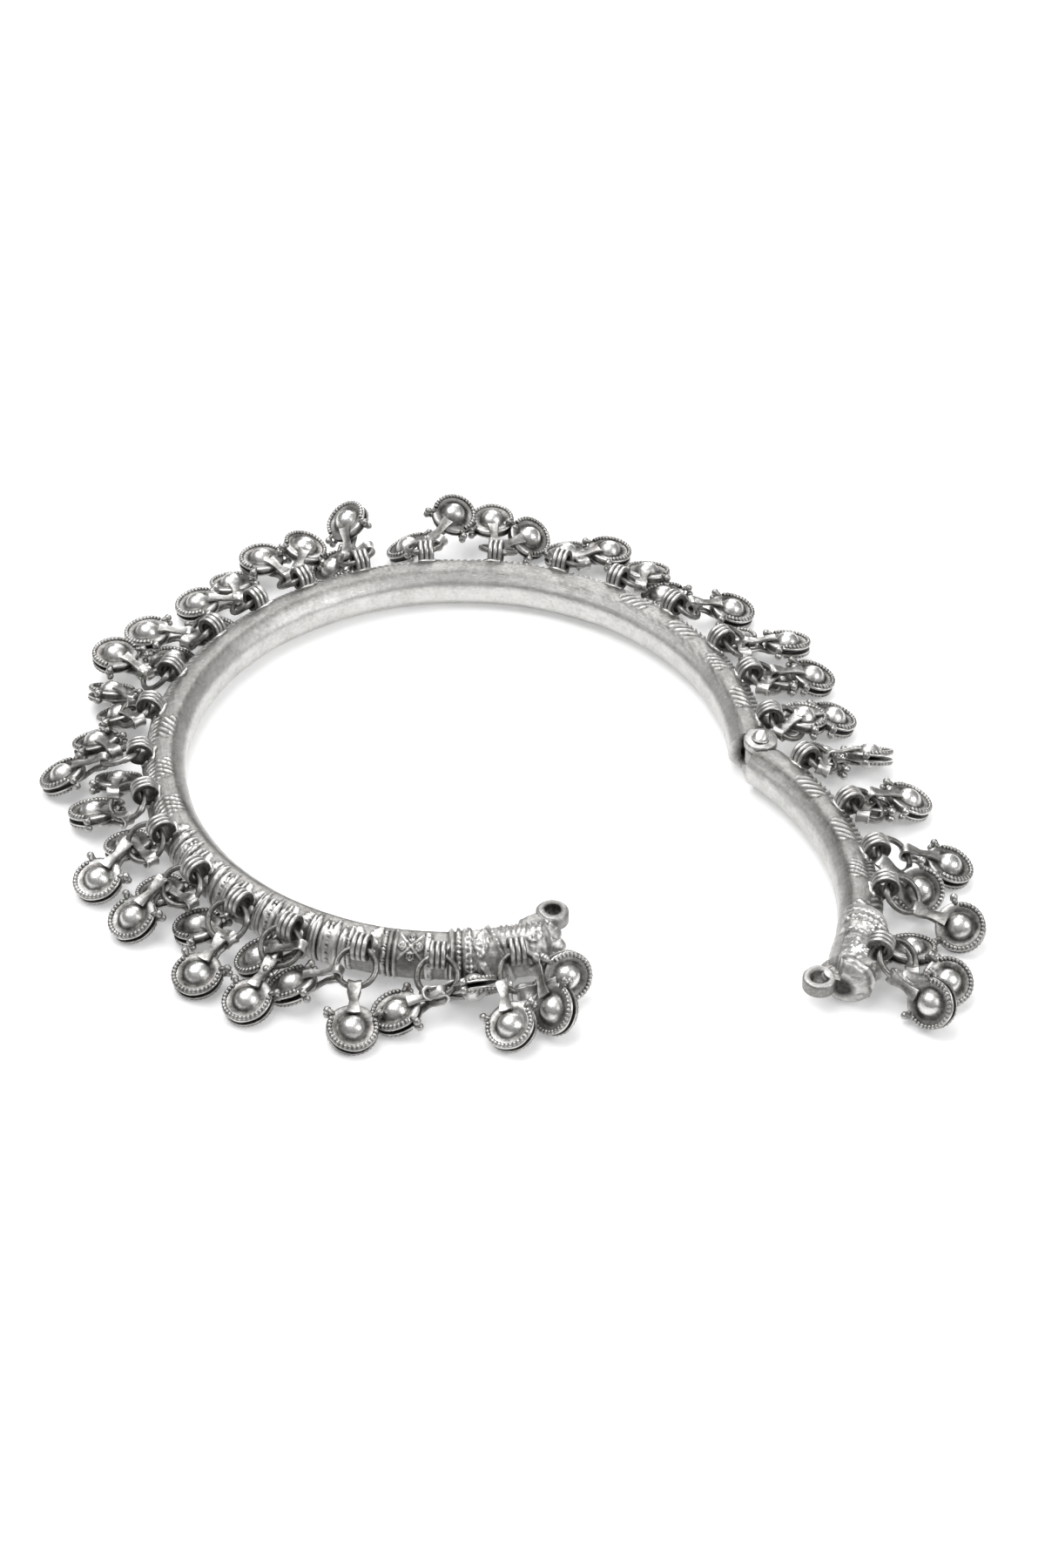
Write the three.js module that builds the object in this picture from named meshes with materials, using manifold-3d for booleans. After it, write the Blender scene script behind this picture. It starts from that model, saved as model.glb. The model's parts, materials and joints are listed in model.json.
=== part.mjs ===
// Hinged silver payal: a hollow ring with a swinging gate, and clusters of flat bells on jump rings.
// Millimetres, +Z up. Angles are degrees round the ring, counter-clockwise from the hinge at +X.
import * as THREE from 'three';
import { mergeVertices } from 'three/addons/utils/BufferGeometryUtils.js';
import Module from 'manifold-3d';

const wasm = await Module();
wasm.setup();

// Ring tube: flat inner wall, two chamfers, narrow flats above and below, round outer side
const innerRadius = 50;
const tubeHeight = 8.66;
const tubeReach = 7.8;
const tubeFlat = 1.11;
const tubeWall = 1.0;
const sweepStep = 8;
const cavityStep = 15;
const roundSteps = 6;
const cavityRoundSteps = 4;

// Ends of the ring and the gate, seen with the gate closed, and how far the gate stands open
const ringStart = 1.5;
const ringEnd = 289.7;
const gateStart = -1.5;
const gateEnd = -69.5;
const restOpening = 46;

// Raised cast collars between the bails at the front
const collarRaise = 0.5;
const collarSpread = 3.4;
const collarsFrom = 212;
const bandSteps = 3;
const bandLowest = -50;
const bandHighest = 88;

// Hinge: a knuckle on the gate between two tongues on the ring, held by a headed rivet
const pinInset = 2.2;
const pinRadius = 1.0;
const rivetHeadRadius = 1.9;
const rivetHeadHeight = 0.9;
const rivetFootHeight = 0.5;
const rivetRimShare = 0.35;
const rivetCrownShare = 0.65;
const rivetCrownRise = 0.85;
const rivetSides = 16;
const knuckleRadius = 2.7;
const tongueRadius = 3.1;
const tongueThickness = 1.8;
const hingeGap = 0.3;
const hingeWall = 2.7;
const ventWidth = 0.9;
const ventHeight = 1.9;
const postSides = 12;

// Heads and clasp lugs
const headRaise = 0.7;
const headHighest = 80;
const headSteps = 5;
const ringHeadSpread = 20;
const gateHeadSpread = 17;
const neckSpread = 1.6;
const neckRaise = 1.1;
const browSpread = 3.0;
const browSetback = 9;
const snoutRadius = 2.3;
const snoutDrop = 20;
const snoutRings = 6;
const lugRadius = 2.9;
const lugHoleRadius = 1.4;
const lugInset = 0.3;
const lugThickness = 2.6;
const lugGap = 0.35;
const lugDrop = 0.1;
const socketDepth = 1.3;
const lugTravel = 9;

// Bails: short tubes lying along the ring, soldered down on its upper outer side
const bailDiameter = 5.0;
const bailHole = 3.0;
const bailWidth = 2.2;
const bailRise = 43;
const bailSink = 0.4;
const bailSides = 10;

// Jump rings and bells
const jumpRadius = 3.45;
const jumpWire = 0.9;
const jumpSlip = 0.35;
const wireSides = 5;
const linkSides = 10;
const bellRadius = 4.3;
const bellHeight = 4.8;
const crownRadius = 2.3;
const crownWall = 0.7;
const rimWall = 0.9;
const slotWidth = 0.8;
const bellSides = 10;
const strapReach = 8.2;
const strapWidth = 1.3;
const strapSetback = 0.1;
const floorClearance = 0.1;
const steepestDip = 89;
const highestDip = -60;
const dipAccuracy = 0.01;

// Each row is one bail: its angle, how its jump ring dips, skews and twists, and its bells as
// [station on the jump ring, swing from straight outward, roll about the strap, lift off the floor in mm].
const ringClusters = [
  { at: 280.8, dip: 32, skew: 0, twist: 5, bells: [[-60, -2, 25, 0], [95, 8, 50, 0], [0, 105, 60, 0]] },
  { at: 267.6, dip: 30, skew: 0, twist: 0, bells: [[15, -75, 0, 0], [-25, 110, -50, 0]] },
  { at: 254.5, dip: 30, skew: 0, twist: -5, bells: [[10, 15, -5, 0], [-60, -76, 10, 0]] },
  { at: 241.2, dip: 32, skew: 0, twist: -10, bells: [[0, 0, 5, 0], [105, -72, 0, 0]] },
  { at: 230.3, dip: 34, skew: 0, twist: -15, bells: [[20, 10, 0, 0], [40, -92, 0, 0]] },
  { at: 218.7, dip: 34, skew: 0, twist: -20, bells: [[-60, 10, 5, 0], [70, -82, 0, 0]] },
  { at: 205.9, dip: 34, skew: 0, twist: -20, bells: [[-30, 25, 0, 0], [70, -80, 0, 0]] },
  { at: 195.0, dip: 30, skew: 0, twist: -20, bells: [[60, -50, 10, 0], [-60, -105, 0, 0]] },
  { at: 183.5, dip: 18, skew: 0, twist: 20, bells: [[0, 0, 10, 0], [-60, -60, 0, 0]] },
  { at: 170.3, dip: 32, skew: 0, twist: -10, bells: [[115, -46, 0, 0], [-65, -45, 20, 0]] },
  { at: 159.1, dip: 34, skew: 0, twist: -20, bells: [[-15, -20, 0, 2.5], [-20, -104, 0, 0]] },
  { at: 144.8, dip: 34, skew: 0, twist: -20, bells: [[10, 25, 0, 1], [60, -90, 0, 0]] },
  { at: 133.1, dip: 34, skew: 0, twist: -20, bells: [[-5, 42, 0, 0.5], [-10, -28, 0, 0]] },
  { at: 122.3, dip: 30, skew: 0, twist: -15, bells: [[0, 10, 0, 2], [-35, -40, 20, 2.5]] },
  { at: 110.1, dip: 20, skew: 0, twist: -10, bells: [[0, -15, -40, 4], [-70, 80, 0, 0]] },
  { at: 97.1, dip: 20, skew: 0, twist: -5, bells: [[-70, 55, 0, 0], [-30, -40, 30, 5]] },
  { at: 83.4, dip: 30, skew: 0, twist: 5, bells: [[15, 12, 0, 3], [5, -42, 35, 0]] },
  { at: 70.3, dip: 30, skew: 0, twist: 10, bells: [[-10, -40, 0, 1], [-60, 45, 0, 0]] },
  { at: 58.3, dip: 34, skew: 0, twist: 15, bells: [[-70, 20, 0, 0]] },
  { at: 45.0, dip: 34, skew: 0, twist: 20, bells: [[10, -40, 0, 0], [0, 92, 0, 0]] },
  { at: 31.0, dip: 34, skew: 0, twist: 20, bells: [[0, -20, -15, 1], [-70, 70, 0, 0]] },
  { at: 20.0, dip: 34, skew: -11, twist: 10, bells: [[45, -5, 0, 0], [-105, 46, 0, 0]] },
  { at: 6.8, dip: 30, skew: -11, twist: 10, bells: [[50, 15, 0, 0], [-110, 42, 0, 0]] },
];
const gateClusters = [
  { at: -9.0, dip: 30, skew: -11, twist: 10, bells: [[40, -15, -30, 0], [-110, 52, 20, 0]] },
  { at: -23.3, dip: 30, skew: -11, twist: 10, bells: [[60, -5, 0, 0], [-115, 50, 0, 0]] },
  { at: -36.4, dip: 32, skew: -11, twist: 10, bells: [[40, -15, 0, 0], [-130, -40, 40, 0]] },
  { at: -46.0, dip: 32, skew: -11, twist: 10, bells: [[-20, -25, 35, 0]] },
  { at: -61.7, dip: 32, skew: -6, twist: 15, bells: [[-50, 20, 30, 0], [-70, -30, 60, 0], [-10, 100, 0, 0]] },
];

// Sizes that follow from the ones above
const sectionRadius = tubeHeight / 2;
const sectionCentre = innerRadius + tubeReach - sectionRadius;
const edgeChamfer = tubeReach - sectionRadius - tubeFlat;
const pinX = innerRadius + tubeReach - pinInset;
const bailDistance = sectionRadius + bailDiameter / 2 * Math.cos(Math.PI / bailSides) - bailSink;
const jumpOffset = jumpSlip + jumpRadius;
const lugRingRadius = innerRadius - lugInset;
const lugAngle = (ringEnd - 360 + gateEnd) / 2;
const lugTop = tubeHeight - lugDrop;
const gateLugTop = lugTop - lugThickness - lugGap;
const tongueBottom = hingeGap / 2 + rivetFootHeight + hingeGap;
const knuckleBottom = tongueBottom + tongueThickness + hingeGap;
const tongueTop = tubeHeight;
const knuckleTop = tongueTop - tongueThickness - hingeGap;
const pinHoleRadius = pinRadius + hingeGap;
const belowAll = -1;
const aboveAll = tubeHeight + 2;

const radians = THREE.MathUtils.degToRad;
const upward = new THREE.Vector3(0, 0, 1);

// A closed geometry as a solid that can be joined and cut
function solid(geometry, matrix) {
  const plain = geometry.clone();
  plain.deleteAttribute('normal');
  plain.deleteAttribute('uv');
  if (matrix) {
    plain.applyMatrix4(matrix);
  }
  const merged = mergeVertices(plain, 1e-5);
  return new wasm.Manifold(new wasm.Mesh({
    numProp: 3,
    vertProperties: new Float32Array(merged.attributes.position.array),
    triVerts: new Uint32Array(merged.index.array),
  }));
}

function join(solids) {
  return solids.reduce((whole, next) => whole.add(next));
}

function toMesh(name, body, material) {
  const data = body.getMesh();
  const geometry = new THREE.BufferGeometry();
  geometry.setAttribute('position', new THREE.BufferAttribute(data.vertProperties, 3));
  geometry.setIndex(new THREE.BufferAttribute(data.triVerts, 1));
  geometry.computeVertexNormals();
  const mesh = new THREE.Mesh(geometry, material);
  mesh.name = name;
  return mesh;
}

// Outward direction at an angle, and a point at a radius and a height there
function outwardAt(angle) {
  return new THREE.Vector3(Math.cos(radians(angle)), Math.sin(radians(angle)), 0);
}

function pointAt(angle, radius, height) {
  return outwardAt(angle).multiplyScalar(radius).setZ(height);
}

class RingArc extends THREE.Curve {
  constructor(from, to) {
    super();
    this.from = from;
    this.to = to;
  }

  getPoint(share) {
    return pointAt(this.from + (this.to - this.from) * share, sectionCentre, 0);
  }
}

// A section of [radius, height] points carried round the ring between two angles
function sweep(section, oneEnd, otherEnd, step = sweepStep) {
  const from = Math.min(oneEnd, otherEnd);
  const to = Math.max(oneEnd, otherEnd);
  const points = section.map(([radius, height]) => new THREE.Vector2(-height, sectionCentre - radius));
  return solid(new THREE.ExtrudeGeometry(new THREE.Shape(points), {
    steps: Math.ceil((to - from) / step),
    bevelEnabled: false,
    extrudePath: new RingArc(from, to),
  }));
}

// Points of an arc about the section's centre, angles from the outward direction
function sectionArc(radius, from, to, steps) {
  return Array.from({ length: steps + 1 }, (_, index) => {
    const angle = radians(from + (to - from) * index / steps);
    return [sectionCentre + radius * Math.cos(angle), sectionRadius + radius * Math.sin(angle)];
  });
}

// The tube's outline moved out by an offset, or in by a negative one
function tubeSection(offset, steps = roundSteps) {
  const corner = edgeChamfer - offset * Math.tan(radians(22.5));
  return [
    [innerRadius + corner, -offset],
    ...sectionArc(sectionRadius + offset, -90, 90, steps),
    [innerRadius + corner, tubeHeight + offset],
    [innerRadius - offset, tubeHeight - corner],
    [innerRadius - offset, corner],
  ];
}

// A raised band over the outer side of the tube
function band(angle, spread, raise) {
  const section = sectionArc(sectionRadius + raise, bandLowest, bandHighest, bandSteps);
  return sweep(section, angle - spread / 2, angle + spread / 2);
}

// A collar halfway between each two neighbouring bails, along the front of the ring
function collars(clusters) {
  return clusters.slice(1)
    .map((cluster, index) => (cluster.at + clusters[index].at) / 2)
    .filter((angle) => angle > collarsFrom)
    .map((angle) => band(angle, collarSpread, collarRaise));
}

// Place on the section at an angle round the ring and a rise above the outward direction
function seatAt(angle, rise, distance) {
  return new THREE.Matrix4().makeRotationZ(radians(angle))
    .multiply(new THREE.Matrix4().makeTranslation(sectionCentre, 0, sectionRadius))
    .multiply(new THREE.Matrix4().makeRotationY(radians(-rise)))
    .multiply(new THREE.Matrix4().makeTranslation(distance, 0, 0));
}

// One bail, its flat facet sunk a little into the tube
function bail(angle) {
  const outer = bailDiameter / 2;
  const inner = bailHole / 2;
  const half = bailWidth / 2;
  const profile = [[inner, -half], [outer, -half], [outer, half], [inner, half], [inner, -half]];
  const points = profile.map(([radius, height]) => new THREE.Vector2(radius, height));
  return solid(new THREE.LatheGeometry(points, bailSides), seatAt(angle, bailRise, bailDistance));
}

// An upright cylinder between two heights
function post(x, y, radius, bottom, top, sides = postSides) {
  const geometry = new THREE.CylinderGeometry(radius, radius, top - bottom, sides);
  const place = new THREE.Matrix4().makeTranslation(x, y, (top + bottom) / 2)
    .multiply(new THREE.Matrix4().makeRotationX(Math.PI / 2));
  return solid(geometry, place);
}

function lugPost(radius, bottom, top) {
  const centre = pointAt(lugAngle, lugRingRadius, 0);
  return post(centre.x, centre.y, radius, bottom, top);
}

// A small slot through the wall at a tube's hinge end
function vent(angle) {
  const place = new THREE.Matrix4().makeRotationZ(radians(angle));
  place.multiply(new THREE.Matrix4().makeTranslation(innerRadius + tubeReach / 4, 0, sectionRadius));
  return solid(new THREE.BoxGeometry(ventWidth, 4 * hingeWall, ventHeight), place);
}

// The head's fuller section: raised over its outer side only
function bulgeSection(raise) {
  return [
    [innerRadius + edgeChamfer, edgeChamfer / 2],
    ...sectionArc(sectionRadius + raise, bandLowest, headHighest, headSteps),
    [innerRadius + edgeChamfer, tubeHeight - edgeChamfer / 2],
  ];
}

// One tube from its hinge end to its head, with bails, collars, a brow band and a rounded snout
function tubeBody(hingeEnd, headEnd, headSpread, clusters) {
  const away = Math.sign(headEnd - hingeEnd);
  const neck = headEnd - away * headSpread;
  const wallSpread = THREE.MathUtils.radToDeg(hingeWall / innerRadius);
  const snoutSpread = THREE.MathUtils.radToDeg(snoutRadius / sectionCentre);
  const snout = new THREE.SphereGeometry(snoutRadius, bellSides, snoutRings);
  const outside = join([
    sweep(tubeSection(0), hingeEnd, headEnd),
    sweep(bulgeSection(headRaise), neck, headEnd),
    band(neck, neckSpread, neckRaise),
    band(headEnd - away * browSetback, browSpread, neckRaise),
    solid(snout, seatAt(headEnd - away * snoutSpread, -snoutDrop, sectionRadius - snoutRadius / 3)),
    ...collars(clusters),
    ...clusters.map((cluster) => bail(cluster.at)),
  ]);
  return outside
    .subtract(sweep(tubeSection(-tubeWall, cavityRoundSteps), hingeEnd + away * wallSpread, neck, cavityStep))
    .subtract(vent(hingeEnd));
}

// The ring's fork, cleared inside for the gate's knuckle
function withFork(body) {
  const lower = post(pinX, 0, tongueRadius, tongueBottom, tongueBottom + tongueThickness);
  const upper = post(pinX, 0, tongueRadius, tongueTop - tongueThickness, tongueTop);
  const foot = post(pinX, 0, rivetHeadRadius + hingeGap, belowAll, tongueBottom);
  const middle = post(pinX, 0, knuckleRadius + hingeGap, tongueBottom + tongueThickness,
    tongueTop - tongueThickness);
  return body.add(lower).add(upper).subtract(foot).subtract(middle)
    .subtract(post(pinX, 0, pinHoleRadius, belowAll, aboveAll));
}

// The gate's knuckle, with room above and below it for the fork's tongues
function withKnuckle(body) {
  const room = tongueRadius + hingeGap;
  return body
    .subtract(post(pinX, 0, room, belowAll, knuckleBottom))
    .subtract(post(pinX, 0, room, knuckleTop, aboveAll))
    .add(post(pinX, 0, knuckleRadius, knuckleBottom, knuckleTop))
    .subtract(post(pinX, 0, pinHoleRadius, belowAll, aboveAll));
}

// The ring's upper lug, with a pocket under it where the gate's lug swings in
function withUpperLug(body) {
  const lugBottom = lugTop - lugThickness;
  const pocketBottom = gateLugTop - lugThickness - lugGap;
  const room = lugRadius + lugGap;
  const lugPoint = pointAt(lugAngle, lugRingRadius, 0);
  const reach = new THREE.Vector3(lugPoint.x - pinX, lugPoint.y, 0);
  const travel = new THREE.Vector3().crossVectors(upward, reach).normalize();
  const slotCentre = travel.clone().multiplyScalar(lugTravel / 2).add(lugPoint)
    .setZ((lugBottom + pocketBottom) / 2);
  const slotPlace = new THREE.Matrix4()
    .makeBasis(travel, new THREE.Vector3().crossVectors(upward, travel), upward)
    .setPosition(slotCentre);
  const slot = new THREE.BoxGeometry(lugTravel, 2 * room, lugBottom - pocketBottom);
  return body
    .subtract(lugPost(room, pocketBottom, lugBottom))
    .subtract(solid(slot, slotPlace))
    .add(lugPost(lugRadius, lugBottom, lugTop))
    .subtract(lugPost(lugHoleRadius, pocketBottom, aboveAll));
}

// The gate's lower lug with its round socket, and room above it for the ring's lug
function withLowerLug(body) {
  return body
    .subtract(lugPost(lugRadius + lugGap, gateLugTop, aboveAll))
    .add(lugPost(lugRadius, gateLugTop - lugThickness, gateLugTop))
    .subtract(lugPost(lugHoleRadius, gateLugTop - socketDepth, aboveAll));
}

// Rivet: shaft, spread foot and a low domed head
function hingeRivet() {
  const footBottom = hingeGap / 2;
  const headBottom = tongueTop + hingeGap;
  const profile = [
    [0, footBottom],
    [rivetHeadRadius, footBottom],
    [rivetHeadRadius, footBottom + rivetFootHeight],
    [pinRadius, footBottom + rivetFootHeight],
    [pinRadius, headBottom],
    [rivetHeadRadius, headBottom],
    [rivetHeadRadius, headBottom + rivetHeadHeight * rivetRimShare],
    [rivetHeadRadius * rivetCrownShare, headBottom + rivetHeadHeight * rivetCrownRise],
    [0, headBottom + rivetHeadHeight],
  ];
  const points = profile.map(([radius, height]) => new THREE.Vector2(radius, height));
  const place = new THREE.Matrix4().makeTranslation(pinX, 0, 0)
    .multiply(new THREE.Matrix4().makeRotationX(Math.PI / 2));
  return solid(new THREE.LatheGeometry(points, rivetSides), place);
}

// A jump ring's centre and its two in-plane directions: u outward and down, w along the tube
function jumpFrame(cluster) {
  const turn = (vector) => vector.applyAxisAngle(upward, radians(cluster.skew));
  const outward = turn(outwardAt(cluster.at));
  const along = new THREE.Vector3().crossVectors(upward, outward);
  const u = outward.multiplyScalar(Math.cos(radians(cluster.dip)))
    .addScaledVector(upward, -Math.sin(radians(cluster.dip)));
  const w = along.clone().applyAxisAngle(u, radians(cluster.twist));
  const rise = radians(bailRise);
  const centre = pointAt(
    cluster.at,
    sectionCentre + bailDistance * Math.cos(rise),
    sectionRadius + bailDistance * Math.sin(rise),
  ).addScaledVector(u, jumpOffset);
  return { centre, u, w };
}

// A bell's strap direction and the normal of its flat, for one swing, dip and roll
function bellAxes(at, swing, dip, roll) {
  const outward = outwardAt(at + swing);
  const along = outward.multiplyScalar(Math.cos(radians(dip)))
    .addScaledVector(upward, -Math.sin(radians(dip)));
  const side = new THREE.Vector3().crossVectors(upward, outwardAt(at + swing));
  const normal = new THREE.Vector3().crossVectors(along, side).applyAxisAngle(along, radians(roll));
  return { along, normal };
}

// How far below its centre a bell reaches: its rim or the edge of its crown
function bellDepth(normal) {
  const level = Math.abs(normal.z);
  const edge = Math.sqrt(Math.max(0, 1 - level * level));
  return Math.max(
    bellRadius * edge + slotWidth / 2 * level,
    crownRadius * edge + bellHeight / 2 * level,
  );
}

// Where a bell comes to lie: it dips about its wire until it meets the floor, or its lift above it
function bellPlace(cluster, frame, [station, swing, roll, lift]) {
  const turn = radians(station);
  const wire = frame.centre.clone()
    .addScaledVector(frame.u, jumpRadius * Math.cos(turn))
    .addScaledVector(frame.w, jumpRadius * Math.sin(turn));
  let high = highestDip;
  let low = steepestDip;
  while (low - high > dipAccuracy) {
    const dip = (high + low) / 2;
    const { along, normal } = bellAxes(cluster.at, swing, dip, roll);
    const clear = wire.z + strapReach * along.z - bellDepth(normal) > floorClearance + lift;
    high = clear ? dip : high;
    low = clear ? low : dip;
  }
  const { along, normal } = bellAxes(cluster.at, swing, high, roll);
  return new THREE.Matrix4()
    .makeBasis(along, new THREE.Vector3().crossVectors(normal, along), normal)
    .setPosition(wire.addScaledVector(along, strapReach));
}

// A bell about its own centre, its strap along -x: two hollow dishes with a slot between their rims.
// The slot is closed by a wall behind the strap, on the side that faces the jump ring, and the
// strap narrows from the width of that side to its own width at the wire.
function bellShell() {
  const half = bellHeight / 2;
  const slot = slotWidth / 2;
  const wallShare = rimWall / bellRadius;
  const wallHeight = slot + (half - crownWall - slot) * wallShare;
  const at = (index, radius, height) => {
    const angle = Math.PI * (1 + (2 * index - 1) / bellSides);
    return [radius * Math.cos(angle), radius * Math.sin(angle), height];
  };
  const rim = (index, side) => at(index, bellRadius, side * slot);
  const wall = (index, side) => at(index, bellRadius - rimWall, side * wallHeight);
  const end = (index, side) => [-strapReach + strapSetback, (0.5 - index) * strapWidth, side * slot];
  const faces = [];
  for (const side of [1, -1]) {
    const add = (...points) => faces.push(side > 0 ? points : points.reverse());
    const crown = (index) => at(index, crownRadius, side * half);
    const apex = [0, 0, side * (half - crownWall)];
    const last = bellSides - 1;
    add(...Array.from({ length: bellSides }, (_, index) => crown(index)));
    for (let index = 0; index < bellSides; index += 1) {
      add(crown(index), rim(index, side), rim(index + 1, side), crown(index + 1));
    }
    add(apex, wall(1, side), wall(0, side));
    add(rim(2, side), rim(1, side), wall(1, side), apex);
    for (let index = 2; index < last; index += 1) {
      add(apex, rim(index + 1, side), rim(index, side));
    }
    add(rim(last, side), apex, wall(0, side), rim(0, side));
    add(rim(1, side), rim(0, side), end(0, side), end(1, side));
  }
  faces.push([rim(0, 1), rim(0, -1), end(0, -1), end(0, 1)]);
  faces.push([rim(1, -1), rim(1, 1), end(1, 1), end(1, -1)]);
  faces.push([end(0, 1), end(0, -1), end(1, -1), end(1, 1)]);
  faces.push([wall(0, 1), wall(1, 1), wall(1, -1), wall(0, -1)]);
  faces.push([rim(0, 1), wall(0, 1), wall(0, -1), rim(0, -1)]);
  faces.push([wall(1, 1), rim(1, 1), rim(1, -1), wall(1, -1)]);
  const corners = faces.flatMap((face) => (
    face.slice(2).flatMap((point, index) => [face[0], face[index + 1], point])
  ));
  const geometry = new THREE.BufferGeometry();
  geometry.setAttribute('position', new THREE.Float32BufferAttribute(corners.flat(), 3));
  return solid(geometry);
}

const bell = bellShell();

// A jump ring with the bells on it
function bellCluster(cluster) {
  const frame = jumpFrame(cluster);
  const place = new THREE.Matrix4()
    .makeBasis(frame.u, frame.w, new THREE.Vector3().crossVectors(frame.u, frame.w))
    .setPosition(frame.centre);
  const link = solid(new THREE.TorusGeometry(jumpRadius, jumpWire / 2, wireSides, linkSides), place);
  return join([
    link,
    ...cluster.bells.map((row) => bell.transform(bellPlace(cluster, frame, row).elements)),
  ]);
}

function silver(color, roughness) {
  return new THREE.MeshStandardMaterial({ color, roughness, metalness: 1 });
}

const ring = tubeBody(ringStart, ringEnd, ringHeadSpread, ringClusters);
const gate = tubeBody(gateStart, gateEnd, gateHeadSpread, gateClusters);

// The gate and its clusters are made closed and stand open about the pin
const swing = new THREE.Group();
swing.position.set(pinX, 0, 0);
swing.rotation.z = radians(restOpening);
const closed = new THREE.Group();
closed.position.set(-pinX, 0, 0);
swing.add(closed);
closed.add(toMesh('gate', withLowerLug(withKnuckle(gate)), silver(0xb9b5ae, 0.36)));

const anklet = new THREE.Group();
anklet.add(toMesh('main_ring', withUpperLug(withFork(ring)), silver(0xb9b5ae, 0.36)));
anklet.add(toMesh('hinge_rivet', hingeRivet(), silver(0xc4c0b8, 0.32)));
anklet.add(swing);
[...ringClusters, ...gateClusters].forEach((cluster, index) => {
  const name = `bell_cluster_${String(index + 1).padStart(2, '0')}`;
  const parent = index < ringClusters.length ? anklet : closed;
  parent.add(toMesh(name, bellCluster(cluster), silver(0xa9a59e, 0.4)));
});

// The origin is the middle of the whole, at the floor
anklet.updateMatrixWorld(true);
const extent = new THREE.Box3().setFromObject(anklet, true);
const middle = extent.getCenter(new THREE.Vector3());
anklet.position.set(-middle.x, -middle.y, -extent.min.z);
anklet.updateMatrixWorld(true);

export default anklet;
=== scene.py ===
"""Hinged silver payal: the carved ring and its gate, soldered bails, jump rings and flat rattle bells.

Sizes in the shape functions are millimetres about the ring's centre, with the gate closed. Angles round the
ring are degrees, counter-clockwise from the hinge. A way is the distance round the tube's section, in
millimetres, from its outermost point upwards.
"""
import json
import math
from functools import reduce

import bpy
import numpy as np
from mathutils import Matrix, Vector


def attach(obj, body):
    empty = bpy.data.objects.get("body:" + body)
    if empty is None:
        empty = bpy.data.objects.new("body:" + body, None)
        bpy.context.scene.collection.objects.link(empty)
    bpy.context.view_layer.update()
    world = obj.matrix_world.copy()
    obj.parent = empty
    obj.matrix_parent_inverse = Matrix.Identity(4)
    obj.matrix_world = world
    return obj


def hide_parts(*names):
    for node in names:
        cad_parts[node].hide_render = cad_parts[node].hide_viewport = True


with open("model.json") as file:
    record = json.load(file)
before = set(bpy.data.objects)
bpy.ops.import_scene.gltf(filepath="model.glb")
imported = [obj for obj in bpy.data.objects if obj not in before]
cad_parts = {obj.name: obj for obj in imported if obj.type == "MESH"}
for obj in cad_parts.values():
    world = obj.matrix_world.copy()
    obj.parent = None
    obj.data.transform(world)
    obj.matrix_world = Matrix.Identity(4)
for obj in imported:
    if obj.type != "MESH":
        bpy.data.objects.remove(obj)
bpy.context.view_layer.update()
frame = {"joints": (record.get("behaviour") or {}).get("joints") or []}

bl_info = {
    "name": "Hinged payal with bells",
    "version": (1, 0, 0),
    "blender": (4, 5, 0),
    "location": "View3D > Sidebar > Payal",
    "description": "Builds the visible surfaces of a hinged silver anklet round its solid model",
    "category": "Add Mesh",
}

# The hinge, in the frame, gives the ring's centre and how far the gate stands open
PIN_X = 55.6
HINGE = frame["joints"][0]
CENTRE = np.array([HINGE["pos_m"][0] * 1000 - PIN_X, HINGE["pos_m"][1] * 1000, 0.0])
REST_OPENING = -HINGE["range_deg"][0]
RANDOM = np.random.default_rng(7)

# Tube: inner wall, chamfers and the round outer side
INNER_RADIUS = 50.0
TUBE_HEIGHT = 8.66
TUBE_REACH = 7.8
CHAMFER = 2.36
HALF = TUBE_HEIGHT / 2
HEART = INNER_RADIUS + TUBE_REACH - HALF
QUARTER = HALF * math.pi / 2
CREASE_SOFTNESS = 0.5
SECTION_SAMPLES = 600
RING_ENDS = (1.5, 289.7)
GATE_ENDS = (-1.5, -69.5)

# Carving: the ways between which it lies, its grid, and the heads' lengths in degrees
BAND_LOW, BAND_HIGH = -4.5, 9.2
BAND_COLUMNS, WALL_COLUMNS = 50, 24
RING_ROWS, GATE_ROWS = 1080, 262
RELIEF_RADIUS = 57.0
PANEL_HALF = 6.6
HEAD_RAISE = 0.7
RING_HEAD = 20.0
GATE_HEAD = 17.0

# Rows that close the tube at the hinge and at the tip: distance from the end, and size against the full section
HINGE_ROWS = ((1.4, 0.10), (1.3, 0.30), (0.0, 0.36), (0.0, 0.93), (0.1, 0.98), (0.25, 1.0))
TIP_ROWS = ((1.9, 0.99), (1.4, 0.97), (0.9, 0.94), (0.5, 0.89), (0.2, 0.8), (0.05, 0.66), (0.0, 0.35))

# Hinge and clasp. Pairs are the lowest and the highest point of a part. The grid's room is what its straight
# edges need beyond a gap
TONGUE_RADIUS = 3.1
KNUCKLE_RADIUS = 2.7
TONGUES = ((0.95, 2.75), (6.86, 8.66))
KNUCKLE = (3.05, 6.56)
HINGE_GAP = 0.3
GRID_ROOM = 0.4
LUG_ANGLE = (RING_ENDS[1] - 360 + GATE_ENDS[1]) / 2
LUG_RING_RADIUS = 49.7
LUG_RADIUS = 2.9
LUG_HOLE = 1.4
UPPER_LUG = (5.96, 8.56)
LOWER_LUG = (3.01, 5.61)
LUG_GAP = 0.35
LUG_TRAVEL = 9.0
PIN = np.array([PIN_X, 0, 0])

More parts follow.
